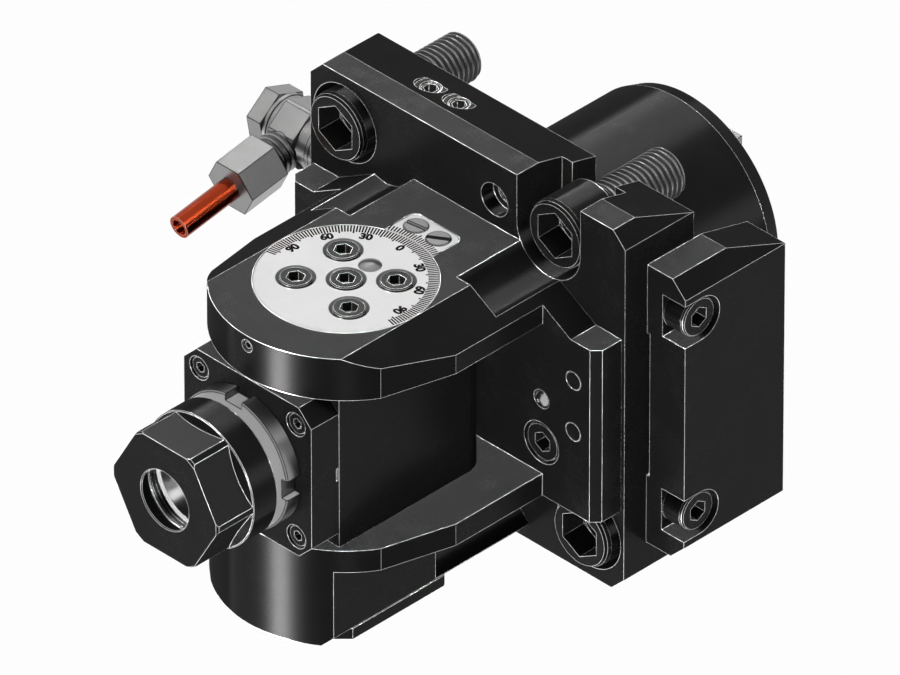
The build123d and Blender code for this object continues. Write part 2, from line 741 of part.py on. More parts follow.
def side_bracket():
    """Bracket on the flange's right side that reaches back over the turret's rim."""
    half = bracket_height / 2
    left = flange_width / 2
    drop = (bracket_back - bracket_strip_end) * tan(radians(station_slope))
    side = make_face(Polyline(
        (0, -bracket_front, -half), (0, -bracket_front, half), (0, bracket_strip_end, half),
        (0, bracket_back, half - drop), (0, bracket_back, drop - half), (0, bracket_strip_end, -half),
        close=True))
    bar = Pos(left, 0, 0) * extrude(side, amount=bracket_width, dir=(1, 0, 0))
    front = Pos(bracket_width / 2, 0) * Rectangle(bracket_width, bracket_height)
    front = chamfer(front.vertices().group_by(Axis.X)[-1], bracket_corner)
    bar &= Pos(left, bracket_back, 0) * Rot(90, 0, 0) * extrude(front, bracket_back + bracket_front)
    bar -= block(left - 1, left + bracket_relief, -bracket_front - 1, bracket_back + 1,
                 -bracket_relief_height / 2, bracket_relief_height / 2)
    radius = bracket_screw_bore / 2
    for sz in (-1, 1):
        z = sz * bracket_screw_z
        bar -= tube_x(radius, left + bracket_screw_seat, left + bracket_width + 1, bracket_screw_y, z)
        bar -= block(left + bracket_screw_seat, left + bracket_width + 1, -bracket_front - 1, bracket_screw_y,
                     z - radius, z + radius)
        bar -= tube_x(screw_radius("M8") + seat_gap, left - 1, left + bracket_width, bracket_screw_y, z)
    return bar


def bracket_screws():
    """Two screws that hold the bracket."""
    face = flange_width / 2 + bracket_width - bracket_screw_sunk
    screw = TO_RIGHT * cap_screw("M8", bracket_screw_length, hexagon_turn)
    return [Pos(face, bracket_screw_y, sz * bracket_screw_z) * screw for sz in (-1, 1)]


def flange_plugs():
    """Socket plugs of the coolant ways: two on top and one in front."""
    plug = socket_plug(plug_dia, plug_length, plug_flats)
    plugs = [Pos(x, top_plug_y, top_plug_floor - plug_sunk) * plug for x in top_plug_x]
    front = Pos(front_plug_x, flange_front + front_plug_depth + plug_sunk, front_plug_z)
    return plugs + [front * TO_FRONT * plug]


def wing_plugs():
    """Plain pressed plugs in the fork's wing, two on each side, flush with it."""
    plug = tube_z(side_plug_dia / 2, -plug_length, 0)
    plug = chamfer(plug.edges().filter_by(GeomType.CIRCLE).sort_by(Axis.Z)[-1], side_plug_bevel)
    face = reach - flange_thickness - wing_thickness
    return [Pos(sx * side_plug_x, face, z) * TO_FRONT * plug for sx in (-1, 1) for z in side_plug_z]


def fork_screws():
    """Screws that hold the fork on the flange."""
    face = reach - flange_thickness - wing_thickness + fork_screw_sunk
    screw = TO_FRONT * cap_screw("M8", fork_screw_length)
    return [Pos(sx * fork_screw_x, face, fork_screw_z) * screw for sx in (-1, 1)]


def fork_dowels():
    """Dowels between the fork and the flange."""
    middle = reach - flange_thickness
    pins = []
    for sx in (-1, 1):
        pin = tube_y(dowel_dia / 2, middle - dowel_length / 2, middle + dowel_length / 2,
                     sx * dowel_x, dowel_z)
        pins.append(chamfer(pin.edges().filter_by(GeomType.CIRCLE), dowel_bevel))
    return pins


def trunnion_bushes():
    """Bronze bushes in the upper and the lower arm."""
    upper = tube_z(trunnion_radius + bush_wall, upper_arm_bottom, dial_bottom - joint_gap)
    upper -= tube_z(trunnion_radius + fit_gap, upper_arm_bottom - 1, dial_bottom + 1)
    lower = tube_z(lower_trunnion_radius + lower_bush_wall, lower_trunnion_end - joint_gap, lower_arm_top)
    lower -= tube_z(lower_trunnion_radius + fit_gap, lower_trunnion_end - 1, lower_arm_top + 1)
    return upper, lower


def head_housing():
    """Head block with both trunnions, bored for the spindle and the upright shaft."""
    plan = Pos(0, (head_back - head_front) / 2) * Rectangle(2 * head_half, head_front + head_back)
    plan = fillet(plan.vertices().group_by(Axis.Y)[-1], head_round)
    head = Pos(0, 0, -head_half_height) * extrude(plan, 2 * head_half_height)
    head += tube_z(trunnion_radius, head_half_height - 1, dial_bottom)
    head += tube_z(lower_trunnion_radius, lower_trunnion_end, 1 - head_half_height)
    head -= tube_y(spindle_bearing_radius, -head_front - 1, -spindle_bearing_end)
    head -= tube_y(bevel_room, -spindle_bearing_end - 1, bevel_room)
    head -= tube_z(shaft_bearing_radius, lower_trunnion_end - 1, 0)
    for x, z in cover_screw_places():
        head -= tube_y(screw_radius("M4"), -head_front - 1, -head_front + cover_screw_length, x, z)
    for x, y in dial_screw_places():
        head -= tube_z(screw_radius("M6"), dial_screw_end, dial_bottom + 1, x, y)
    head -= tube_z(dial_pin_dia / 2, dial_bottom - pin_depth - 1, dial_bottom + 1, 0, dial_pin_y)
    return head


def cover_screw_places():
    """Four screws at the corners of the head's front cover."""
    offset = cover_screw_offset
    return [(sx * offset, sz * offset) for sx in (-1, 1) for sz in (-1, 1)]


def dial_screw_places():
    """Centre screw and four around it."""
    corners = [(sx * dial_screw_x, sy * dial_screw_y) for sx in (-1, 1) for sy in (-1, 1)]
    return [(0, 0)] + corners


def head_cover():
    """Front cover of the head, which also holds the spindle bearings."""
    plan = Rectangle(2 * head_half, 2 * head_half_height)
    plan = chamfer(plan.vertices(), cover_corner)
    cover = Pos(0, -head_front, 0) * Rot(90, 0, 0) * extrude(plan, cover_thickness)
    cover -= tube_y(spindle_bearing_radius, -head_front + 1, -spindle_bearing_front)
    cover -= tube_y(nose_radius + joint_gap, -head_front, -cover_front - 1)
    for x, z in cover_screw_places():
        seat = -cover_front + cover_screw_sunk + screw_sizes["M4"][2]
        cover -= tube_y(cover_screw_bore / 2, -cover_front - 1, seat, x, z)
        cover -= tube_y(screw_radius("M4") + seat_gap / 2, seat - 1, -head_front + 1, x, z)
    mark = index_mark_height / 2
    back = -head_front - index_mark_back
    cover -= block(head_half - index_mark_depth, head_half + 1, back, back + index_mark_width, -mark, mark)
    return cover


def head_cover_screws():
    """Four small screws of the front cover."""
    face = -cover_front + cover_screw_sunk
    reach_in = cover_thickness - cover_screw_sunk - screw_sizes["M4"][2] + cover_screw_length - 1
    return [Pos(x, face, z) * TO_FRONT * cap_screw("M4", reach_in) for x, z in cover_screw_places()]


def dial():
    """Graduated disc on the head's upper trunnion, sunk flush in the upper arm."""
    disc = tube_z(dial_radius, dial_bottom, upper_arm_top)
    disc = chamfer(disc.edges().filter_by(GeomType.CIRCLE).sort_by(Axis.Z)[-1], 0.2)
    for x, y in dial_screw_places():
        seat = upper_arm_top + dial_screw_proud - screw_sizes["M6"][2]
        disc -= tube_z(dial_screw_bore / 2, seat, upper_arm_top + 1, x, y)
        disc -= tube_z(screw_radius("M6") + seat_gap, dial_bottom - 1, seat + 1, x, y)
    return disc - tube_z(dial_pin_dia / 2, dial_bottom - 1, upper_arm_top + 1, 0, dial_pin_y)


def dial_screws():
    """Five screws that clamp the head in the fork."""
    face = upper_arm_top + dial_screw_proud
    length = face - screw_sizes["M6"][2] - dial_screw_end - 1
    return [Pos(x, y, face) * cap_screw("M6", length, hexagon_turn) for x, y in dial_screw_places()]


def dial_pin():
    """Dowel with a domed end that sets the dial on the trunnion."""
    top = upper_arm_top + pin_proud
    pin = tube_z(dial_pin_dia / 2, dial_bottom - pin_depth, top, 0, dial_pin_y)
    straight = tube_z(dial_pin_dia, dial_bottom - pin_depth - 1, top - pin_dome_radius, 0, dial_pin_y)
    return pin & (straight + Pos(0, dial_pin_y, top - pin_dome_radius) * Sphere(pin_dome_radius))


def spindle():
    """Hollow spindle with the collet taper in its nose, along -Y."""
    tail_radius = shaft_radius - shaft_step
    tail_end = bevel_back_off + bevel_radius * 0.55
    taper_end = nose_end - taper_depth
    taper_small = taper_mouth_radius - taper_depth * tan(radians(taper_angle))
    body = turned([
        (0, tail_end),
        (tail_radius, tail_end),
        (tail_radius, spindle_bearing_end),
        (journal_radius, spindle_bearing_end),
        (journal_radius, spindle_bearing_front),
        (nose_radius, spindle_bearing_front),
        (nose_radius, nose_end - 1),
        (nose_radius - 1, nose_end),
        (taper_mouth_radius, nose_end),
        (taper_small, taper_end),
        (spindle_bore_radius, taper_end),
        (spindle_bore_radius, spindle_bearing_end + 3),
        (0, spindle_bearing_end + 1),
    ], TO_FRONT)
    return body


def spanner_ring():
    """Slotted ring nut on the spindle nose, just in front of the cover."""
    front = ring_back + ring_width
    ring = turned([
        (nose_radius + fit_gap / 2, ring_back), (ring_radius, ring_back), (ring_radius, front - 0.5),
        (ring_radius - 0.5, front), (nose_radius + fit_gap / 2, front),
    ], TO_FRONT)
    for turn in range(4):
        slot = block(ring_radius - ring_slot_depth, ring_radius + 1, -front - 1, -ring_back + 1,
                     -ring_slot_width / 2, ring_slot_width / 2)
        ring -= Rot(0, 90 * turn, 0) * slot
    return ring


def collet_nut():
    """Round nut with six spanner flats at its front, and the cone that presses the collet."""
    mouth = nut_mouth_radius
    body = turned([
        (nose_radius + fit_gap, nut_rear + 1.0),
        (nose_radius + 1.0, nut_rear),
        (nut_radius - 0.6, nut_rear),
        (nut_radius, nut_rear + 0.6),
        (nut_radius, nut_step),
        (nut_hex_radius, nut_step),
        (nut_hex_radius, nut_front - 0.8),
        (nut_hex_radius - 0.5, nut_front),
        (mouth + 0.35, nut_front),
        (mouth, nut_front - 0.35),
        (nut_cone_radius, nut_front - nut_cone_depth),
        (nut_groove_radius, nut_front - nut_cone_depth),
        (nut_groove_radius, nut_front - nut_groove_depth),
        (nut_land_radius, nut_front - nut_groove_depth),
        (nut_land_radius, nut_front - nut_land_depth),
        (nut_land_radius + 0.4, nut_front - nut_land_depth),
        (nut_land_radius + 0.4, nut_front - nut_inner_depth),
        (nose_radius + fit_gap, nut_front - nut_inner_depth),
    ], TO_FRONT)
    hexagon = RegularPolygon(nut_flats / 2, 6, major_radius=False, rotation=0)
    flats = Pos(0, -nut_step, 0) * TO_FRONT * extrude(hexagon, nut_front - nut_step + 1)
    slope = turned([
        (0, nut_step), (nut_radius, nut_step), (nut_flats / 2 - 0.3, nut_slope_end), (0, nut_slope_end),
    ], TO_FRONT)
    tip = tube_y(nut_radius + 1, -nut_step, -nut_front - 1)
    return body - (tip - flats - slope)


def drive_shaft():
    """Input shaft along +Y with its flat driving tang, from the gear to the turret."""
    start = transfer_y + bevel_radius * 0.55
    body = turned([
        (0, start),
        (shaft_radius - shaft_step, start),
        (shaft_radius - shaft_step, drive_bearing_start),
        (drive_shaft_radius, drive_bearing_start),
        (drive_shaft_radius, drive_shaft_end - 1.5),
        (drive_shaft_radius - 1.5, drive_shaft_end),
        (0, drive_shaft_end),
    ], TO_TURRET)
    half = tang_thickness / 2
    tang_end = drive_shaft_end + tang_length
    tang = block(-half, half, drive_shaft_end - tang_root, tang_end, -tang_height / 2, tang_height / 2)
    tang = chamfer(tang.faces().sort_by(Axis.Y)[-1].edges(), 1.0)
    return body + tang


def tang_collar():
    """Collar behind the rear bearing that carries the tang."""
    return tube_y(tang_height / 2 + 1.2, spigot_length + 1.0, drive_shaft_end)


def upright_shaft(top, bottom, collar_top):
    """Shaft about Z with a bevel gear seat on top and a spur gear seat below."""
    seat = shaft_radius - shaft_step
    return turned([
        (0, top), (seat, top), (seat, collar_top), (shaft_radius, collar_top),
        (shaft_radius, gear_top + joint_gap), (seat, gear_top + joint_gap), (seat, bottom), (0, bottom),
    ])


def washer(radius, start, thickness):
    """Ring about Z that fits over the banjo bolt."""
    return tube_z(radius, start, start + thickness) - tube_z(banjo_bore, start - 1, start + thickness + 1)


def threaded_stub(start):
    """Bar along Z from the banjo's middle into the union nut, with turns of thread from start to the nut."""
    end = union_start + stub_reach
    root_radius = union_stub_radius - stub_thread_depth
    profile = [(0, 0), (root_radius, 0), (root_radius, start)]
    level = start
    while level + stub_thread_pitch <= union_start:
        profile.append((union_stub_radius, level + stub_thread_pitch * 0.4))
        profile.append((union_stub_radius, level + stub_thread_pitch * 0.6))
        profile.append((root_radius, level + stub_thread_pitch))
        level += stub_thread_pitch
    profile += [(union_stub_radius, union_start + 0.5), (union_stub_radius, end), (0, end)]
    return turned(profile)


def coolant_inlet():
    """Pieces of the coolant inlet about the bolt axis, which is Z here; +Z points away from the flange."""
    spacer = washer(washer_radius, 0.0, port_spacer_length)
    inner_washer = washer(washer_radius, port_spacer_length, seal_washer)
    start = port_spacer_length + seal_washer
    hex_start = start + banjo_inner_collar
    middle = hex_start + banjo_hex_width / 2
    end = hex_start + banjo_hex_width + banjo_outer_collar
    body = tube_z(banjo_collar_radius, start, end)
    hexagon = RegularPolygon(banjo_hex / 2, 6, major_radius=False)
    prism = Pos(0, 0, hex_start) * extrude(hexagon, banjo_hex_width)
    body += prism & tube_z(banjo_corner_radius, hex_start - 1, end + 1)
    body += Pos(0, 0, middle) * Rot(90, 0, 0) * threaded_stub(banjo_hex / 2)
    body -= tube_z(banjo_bore + fit_gap, start - 1, end + 1)
    pipe_hole = tube_z(pipe_neck_radius + fit_gap, 0, union_start + stub_reach + 1)
    body -= Pos(0, 0, middle) * Rot(90, 0, 0) * pipe_hole
    outer_washer = washer(washer_radius, end, seal_washer)
    head = RegularPolygon(banjo_head_hex / 2, 6, major_radius=False)
    bolt = tube_z(banjo_bore, -port_thread_depth, end + seal_washer)
    bolt += Pos(0, 0, end + seal_washer) * extrude(head, banjo_head_height)
    bolt -= tube_z(banjo_bore / 2, -port_thread_depth - 1, middle + banjo_bore / 2)
    bolt -= Pos(0, 0, middle) * Rot(90, 0, 0) * Cylinder(banjo_bore / 3, 2 * banjo_bore + 2)
    return spacer, inner_washer, outer_washer, body, bolt, middle


def union_and_pipe():
    """Union nut and pipe along +Z, from the bolt axis."""
    face = union_start + union_length
    hexagon = RegularPolygon(union_hex / 2, 6, major_radius=False, rotation=hexagon_turn)
    nut = Pos(0, 0, union_start) * extrude(hexagon, union_length)
    nut -= tube_z(union_stub_radius + fit_gap / 2, union_start - 1, union_start + stub_reach + joint_gap)
    nut -= tube_z(pipe_neck_radius + fit_gap, union_start, face + 1)
    pipe = tube_z(pipe_neck_radius, banjo_bore + pipe_neck_start, face + 1)
    pipe += tube_z(pipe_radius, face + thread_start, face + pipe_length)
    return nut, pipe - tube_z(pipe_bore, banjo_bore, face + pipe_length + 1)


def build():
    """Make every node and write it to its file."""
    add("mounting_flange", mounting_flange())
    add("turret_bolts", *turret_bolts())
    add("flange_plugs", *flange_plugs())
    add("side_bracket", side_bracket())
    add("bracket_screws", *bracket_screws())
    add("fork_housing", swivel * fork_housing())
    add("fork_screws", *[swivel * s for s in fork_screws()])
    add("fork_dowels", *[swivel * s for s in fork_dowels()])
    add("wing_plugs", *[swivel * s for s in wing_plugs()])
    ball_y = reach - flange_thickness - wing_thickness + ball_dia / 2 - ball_proud
    add("sealing_ball", swivel * Pos(ball_x, ball_y, ball_z) * Sphere(ball_dia / 2 - fit_gap))
    add("gear_cover", swivel * gear_cover())
    add("gear_cover_screws", *[swivel * s for s in gear_cover_screws()])
    add("vernier_plate", swivel * vernier_plate())
    add("vernier_screws", *[swivel * s for s in vernier_screws()])
    grub = Pos(0, -arm_radius + grub_sunk, grub_z) * TO_FRONT * socket_plug(grub_dia, grub_length, grub_flats)
    add("dial_lock_screw", swivel * grub)
    upper_bush, lower_bush = trunnion_bushes()
    add("upper_trunnion_bush", swivel * upper_bush)
    add("lower_trunnion_bush", swivel * lower_bush)

    add("head_housing", swivel * head_housing())
    add("head_cover", swivel * head_cover())
    add("head_cover_screws", *[swivel * s for s in head_cover_screws()])
    add("dial", swivel * dial())
    add("dial_screws", *[swivel * s for s in dial_screws()])
    add("dial_pin", swivel * dial_pin())

    add("spindle", swivel * spindle())
    add("spanner_ring", swivel * spanner_ring())
    add("collet_nut", swivel * collet_nut())

    # Spindle bearings: outer rings in the head, inner rings and balls on the spindle
    outers, inners, balls = [], [], []
    for i in range(2):
        place = swivel * Pos(0, -spindle_bearing_end - i * spindle_bearing_width, 0) * TO_FRONT
        outer, inner, spheres = ball_bearing(
            journal_radius, spindle_bearing_radius, spindle_bearing_width, spindle_ball_count)
        outers.append(place * outer)
        inners.append(place * inner)
        balls += [place * s for s in spheres]
    add("spindle_bearing_outer_rings", *outers)
    add("spindle_bearing_inner_rings", *inners)
    add("spindle_bearing_balls", *balls)

    # Drive shaft bearings in the spigot
    outers, inners, balls = [], [], []
    for start in (drive_bearing_start, spigot_length - drive_bearing_width - drive_bearing_inset):
        place = Pos(0, start, 0) * TO_TURRET
        outer, inner, spheres = ball_bearing(
            drive_shaft_radius, drive_bearing_radius, drive_bearing_width, drive_ball_count)
        outers.append(place * outer)
        inners.append(place * inner)
        balls += [place * s for s in spheres]
    add("drive_bearing_outer_rings", *outers)
    add("drive_bearing_inner_rings", *inners)
    add("drive_bearing_balls", *balls)
    add("drive_shaft", drive_shaft() + tang_collar())

    # Upright shafts
    transfer = Pos(0, transfer_y, 0)
    shaft_top = -bevel_radius * 0.55
    collar = -bevel_radius - 2.2 * gear_module - 1.0
    add("transfer_shaft", transfer * upright_shaft(shaft_top, gear_bottom - 0.5, collar))
    add("cross_shaft", swivel * upright_shaft(shaft_top, gear_bottom - 0.5, collar))
    bearing_levels = (collar - 1.0 - shaft_bearing_width, gear_top + gear_air + 1.0)
    for name, place in (("transfer", transfer), ("cross", swivel)):
        levels = bearing_levels
        if name == "cross":
            levels = (bearing_levels[0], lower_trunnion_end)
        outers, inners = [], []
        for level in levels:
            outer, inner, spheres = ball_bearing(
                shaft_radius, shaft_bearing_radius, shaft_bearing_width, shaft_ball_count)
            outers.append(place * Pos(0, 0, level) * outer)
            inners += [place * Pos(0, 0, level) * s for s in [inner] + spheres]
        add(name + "_bearing_outer_rings", *outers)
        add(name + "_bearing_inner_rings", *inners)

    # Gears
    step_radius = shaft_radius - shaft_step
    spindle_hub = bevel_back_off - spindle_bearing_end
    bevel = bevel_gear(bevel_teeth, gear_module, bevel_face, step_radius, collar)
    bevel_gap = bevel_gear(bevel_teeth, gear_module, bevel_face, step_radius, collar, True)
    spindle_bevel = bevel_gear(bevel_teeth, gear_module, bevel_face, step_radius, spindle_hub, True)
    add("drive_bevel_gear", Pos(0, transfer_y, 0) * Rot(90, 0, 0) * Rot(0, 0, 90) * bevel)
    add("transfer_bevel_gear", transfer * Rot(0, 0, 90) * bevel_gap)
    add("cross_bevel_gear", swivel * Rot(0, 0, 90) * bevel)
    spindle_bevel_place = swivel * Pos(0, -bevel_back_off, 0) * Rot(-90, 0, 0) * Rot(0, 0, 90)
    add("spindle_bevel_gear", spindle_bevel_place * spindle_bevel)
    spur_place = Pos(0, 0, gear_bottom)
    add("transfer_gear", transfer * spur_place * Rot(0, 0, 90) * spur_gear(
        transfer_teeth, gear_module, gear_face, step_radius))
    add("cross_gear", swivel * spur_place * Rot(0, 0, 90) * spur_gear(
        cross_teeth, gear_module, gear_face, step_radius))
    idler = Pos(0, idler_y - reach, 0)
    add("idler_gear", idler * spur_place * Rot(0, 0, 90) * spur_gear(
        idler_teeth, gear_module, gear_face, idler_bush_radius, True))
    bush = tube_z(idler_bush_radius, gear_bottom, gear_top)
    bush -= tube_z(idler_pin_radius + fit_gap, gear_bottom - 1, gear_top + 1)
    add("idler_bush", idler * bush)
    pin_low = gear_bottom - gear_air - idler_pin_seat
    pin_high = gear_top + gear_air + idler_pin_seat
    add("idler_pin", idler * tube_z(idler_pin_radius, pin_low, pin_high))
    cap = tube_z(transfer_room, shaft_cap_bottom, shaft_cap_top)
    for sx in (-1, 1):
        cap -= tube_z(shaft_cap_hole_radius, shaft_cap_bottom - 1, shaft_cap_bottom + shaft_cap_hole_depth,
                      sx * shaft_cap_hole_x, 0)
    add("shaft_cap", transfer * cap)

    # Coolant inlet on the left side of the flange
    spacer, inner_washer, outer_washer, body, bolt, middle = coolant_inlet()
    port = Pos(-flange_width / 2, port_y, port_z) * TO_LEFT * Rot(0, 0, -port_tilt)
    add("port_spacer", port * spacer)
    add("seal_washers", port * inner_washer, port * outer_washer)
    add("banjo_body", port * body)
    add("banjo_bolt", port * bolt)
    nut, pipe = union_and_pipe()
    along = port * Pos(0, 0, middle) * Rot(90, 0, 0)
    add("union_nut", along * nut)
    add("coolant_pipe", along * pipe)


def write():
    """Write one STEP file per node."""
    os.makedirs("parts", exist_ok=True)
    for name, solids in parts.items():
        flat = []
        for piece in solids:
            flat += list(piece.solids())
        shape = flat[0] if len(flat) == 1 else Compound(children=flat)
        shape.label = name
        export_step(shape, f"parts/{name}.step")
        print(f"{name}: {len(flat)} solids")


build()
write()
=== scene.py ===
# %% [markdown]
# # Swivel live tool holder
# This lesson dresses the CAD model of a driven tool holder. Its construction stays as it was
# designed: Blender adds the finish of each surface, the engraved dial, the threads, and the studio.
# Everything is in metres, in the same frame as the CAD, so a piece goes where the CAD says.

import math

import bmesh
import bpy
from mathutils import Matrix, Vector


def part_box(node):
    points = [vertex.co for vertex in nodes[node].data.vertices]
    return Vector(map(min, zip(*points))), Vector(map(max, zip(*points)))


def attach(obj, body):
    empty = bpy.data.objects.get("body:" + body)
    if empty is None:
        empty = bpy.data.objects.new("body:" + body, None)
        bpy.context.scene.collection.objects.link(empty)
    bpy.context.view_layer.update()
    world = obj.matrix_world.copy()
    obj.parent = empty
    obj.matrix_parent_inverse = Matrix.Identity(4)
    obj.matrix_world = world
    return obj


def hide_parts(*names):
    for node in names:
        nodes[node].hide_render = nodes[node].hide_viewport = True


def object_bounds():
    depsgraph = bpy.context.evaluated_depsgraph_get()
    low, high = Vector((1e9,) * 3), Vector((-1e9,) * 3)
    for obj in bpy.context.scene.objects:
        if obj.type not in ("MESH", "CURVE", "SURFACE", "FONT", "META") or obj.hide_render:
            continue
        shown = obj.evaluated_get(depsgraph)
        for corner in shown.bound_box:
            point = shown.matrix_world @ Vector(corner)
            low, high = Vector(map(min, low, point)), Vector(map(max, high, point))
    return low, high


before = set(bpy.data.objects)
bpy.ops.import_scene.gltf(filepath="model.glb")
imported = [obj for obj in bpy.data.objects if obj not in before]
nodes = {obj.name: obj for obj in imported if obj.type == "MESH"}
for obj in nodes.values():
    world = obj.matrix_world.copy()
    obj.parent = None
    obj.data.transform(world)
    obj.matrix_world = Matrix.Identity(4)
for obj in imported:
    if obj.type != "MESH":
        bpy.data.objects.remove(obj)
cad_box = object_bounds()
mm = 0.001

# %% [markdown]
# ## Camera
# The photograph is an exact isometric view: the camera looks down the cube's diagonal. A very long
# lens from seven metres away keeps edges parallel, as they are there, and still lets a view from
# another side fit the whole object, which a camera without perspective would not.
# The camera aims at the point of the object that lies behind the middle of the picture. That point
# follows from the picture's scale and from one known point, where the swivel axis and the
# spindle's axis cross.

# %% Place the camera
picture_width, picture_height = 900, 675
pixels_per_mm = 3.42
axes_cross_pixel = (346.8, 395.2)
reach = 78 * mm
lens = 1000.0
far_clip = 40.0
aim_depth = -25.0 * mm         # the plane at true scale, towards the camera from the axes' crossing

across = (picture_width / 2 - axes_cross_pixel[0]) / pixels_per_mm * mm
down = (picture_height / 2 - axes_cross_pixel[1]) / pixels_per_mm * mm
right_way = Vector((1, 1, 0)).normalized()
down_way = Vector((1, -1, -2)).normalized()
camera_way = Vector((1, -1, 1)).normalized()
axes_cross = Vector((0, -reach, 0))
aim = axes_cross + across * right_way + down * down_way + aim_depth * camera_way

camera_data = bpy.data.cameras.new("camera")
camera_data.lens = lens
camera_data.clip_end = far_clip
camera = bpy.data.objects.new("camera", camera_data)
bpy.context.scene.collection.objects.link(camera)
seen_width = picture_width / pixels_per_mm * mm
distance = seen_width * lens / camera_data.sensor_width
camera.location = aim + distance * camera_way
camera.rotation_mode = "QUATERNION"
camera.rotation_quaternion = (-camera_way).to_track_quat("-Z", "Y")
bpy.context.scene.camera = camera
print(f"camera {distance:.2f} m from the object, which fills {seen_width * 1000:.0f} mm")

# %% [markdown]
# ## Floor and light
# A turret carries this holder, so nothing stands under it: the pale floor lies well below. What
# the camera sees white, polished metal must see white too, or steel would look like soot. Only the
# light that the floor and the sky scatter on dull surfaces is held back, to a plain level.

# %% Helpers for materials


def new_material(name):
    """An empty node material and its node tree."""
    material = bpy.data.materials.new(name)
    material.use_nodes = True
    material.node_tree.nodes.clear()
    return material, material.node_tree


def add_node(tree, kind, **values):
    """Add a node and set its properties."""
    node = tree.nodes.new(kind)
    for key, value in values.items():
        setattr(node, key, value)
    return node


def link(tree, start, end):
    """Join two sockets."""
    tree.links.new(start, end)


def seen_or_mirrored(tree):
    """A mask that is 1 for what the camera sees straight, in a reflection or through glass."""
    ray = add_node(tree, "ShaderNodeLightPath")
    either = add_node(tree, "ShaderNodeMath", operation="MAXIMUM")
    any_of_them = add_node(tree, "ShaderNodeMath", operation="MAXIMUM")
    link(tree, ray.outputs["Is Camera Ray"], either.inputs[0])
    link(tree, ray.outputs["Is Glossy Ray"], either.inputs[1])
    link(tree, either.outputs[0], any_of_them.inputs[0])
    link(tree, ray.outputs["Is Transmission Ray"], any_of_them.inputs[1])
    return any_of_them.outputs[0]


# %% Floor
floor_drop = 0.80
floor_size = 60.0
floor_tone = 0.82
floor_white_share = 0.97       # the rest of what is seen is paint, which keeps the shadow
floor_scatter = 0.30           # what dull surfaces get from the floor

floor_mesh = bpy.data.meshes.new("floor")
half = floor_size / 2
corners = [(-half, -half, 0), (half, -half, 0), (half, half, 0), (-half, half, 0)]
floor_mesh.from_pydata(corners, [], [(0, 1, 2, 3)])
floor = bpy.data.objects.new("floor", floor_mesh)
floor.location.z = cad_box[0].z - floor_drop
bpy.context.scene.collection.objects.link(floor)

floor_material, tree = new_material("pale_floor")
floor_paint = add_node(tree, "ShaderNodeBsdfDiffuse")
floor_paint.inputs["Color"].default_value = (floor_tone, floor_tone, floor_tone, 1)
floor_glow = add_node(tree, "ShaderNodeEmission")
floor_glow.inputs["Color"].default_value = (1, 1, 1, 1)
pale_floor = add_node(tree, "ShaderNodeMixShader")
pale_floor.inputs["Fac"].default_value = floor_white_share
dim_floor = add_node(tree, "ShaderNodeEmission")
dim_floor.inputs["Strength"].default_value = floor_scatter
pick = add_node(tree, "ShaderNodeMixShader")
output = add_node(tree, "ShaderNodeOutputMaterial")
link(tree, floor_paint.outputs[0], pale_floor.inputs[1])
link(tree, floor_glow.outputs[0], pale_floor.inputs[2])
link(tree, seen_or_mirrored(tree), pick.inputs["Fac"])
link(tree, dim_floor.outputs[0], pick.inputs[1])
link(tree, pale_floor.outputs[0], pick.inputs[2])
link(tree, pick.outputs[0], output.inputs["Surface"])
floor_mesh.materials.append(floor_material)
print(f"floor {-floor.location.z / mm:.0f} mm below the spindle's axis")

# %% World
sky_scatter = 0.35             # what dull surfaces get from the sky
sky_shown = 0.90               # how white the sky looks, seen or mirrored

world = bpy.data.worlds.new("studio")
bpy.context.scene.world = world
world.use_nodes = True
tree = world.node_tree
tree.nodes.clear()
sky_light = add_node(tree, "ShaderNodeBackground")
sky_light.inputs["Color"].default_value = (1, 1, 1, 1)
sky_light.inputs["Strength"].default_value = sky_scatter
sky_seen = add_node(tree, "ShaderNodeBackground")
sky_seen.inputs["Color"].default_value = (1, 1, 1, 1)
sky_seen.inputs["Strength"].default_value = sky_shown
pick = add_node(tree, "ShaderNodeMixShader")
output = add_node(tree, "ShaderNodeOutputWorld")
link(tree, seen_or_mirrored(tree), pick.inputs["Fac"])
link(tree, sky_light.outputs[0], pick.inputs[1])
link(tree, sky_seen.outputs[0], pick.inputs[2])
link(tree, pick.outputs[0], output.inputs["Surface"])
bpy.context.scene.view_settings.view_transform = "Standard"
print("sky looks", sky_shown, "and lights dull surfaces at", sky_scatter)

# %% [markdown]
# ## Lamps
# One broad lamp overhead lights what is dull. Black oxide is hardly dull at all: it shows what it
# mirrors. So each direction in which the holder's faces mirror the room to the camera has a lamp
# of its own: behind for the level faces, low at both sides for the upright ones. A tall strip
# runs down the round faces as a soft band. These lamps cast no shadow, because the flange would
# otherwise stand between them and the arms, and they light no dull surface.
# Bright steel mirrors far more than black oxide does, so each kind of finish has lamps of its own.
# Light linking does that: a lamp reaches only the pieces in its collection.
# How bright a lamp looks in a mirror is its power over its area and pi, so the helper takes that
# brightness, and a lamp can be made larger without growing brighter.

# %% Helpers for lamps
lamp_target = axes_cross
lamp_away = 4.0
black_pieces = bpy.data.collections.new("black_pieces")
bright_pieces = bpy.data.collections.new("bright_pieces")


